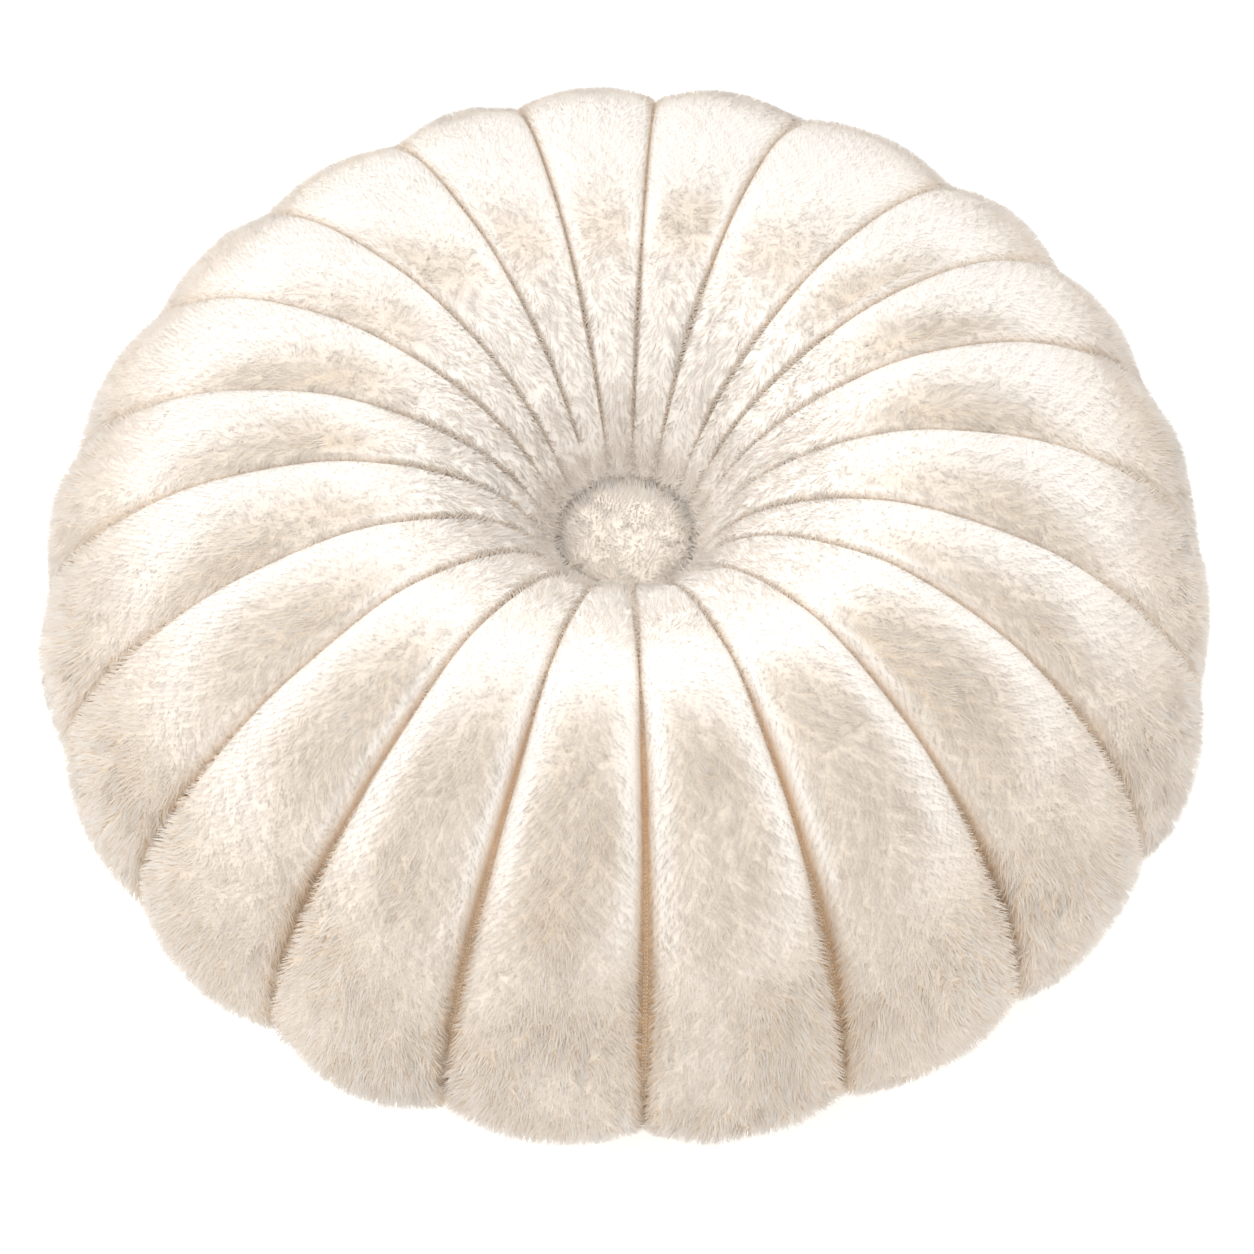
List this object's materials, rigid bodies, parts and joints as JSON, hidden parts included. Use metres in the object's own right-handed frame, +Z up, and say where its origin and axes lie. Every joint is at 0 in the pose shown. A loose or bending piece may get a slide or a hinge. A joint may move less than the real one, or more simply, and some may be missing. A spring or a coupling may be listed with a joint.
{
  "type": "round flower cushion",
  "caption": "Round plush floor cushion of filled petals sewn side by side, with a sunken middle and a covered button.",
  "frame": {"origin": "on the floor, under the middle of the cushion", "axes": "+Z up through the covered button, -Y towards the front, +X to the right seen from the front"},
  "size_m": [0.4966, 0.4979, 0.1829],
  "materials": {
    "ivory_plush": "short dense plush pile, matt",
    "button_plush": "short tufted plush pile, matt"
  },
  "bodies": {
    "root": {"cushion": "ivory_plush", "centre_button": "button_plush"}
  },
  "joints": []
}
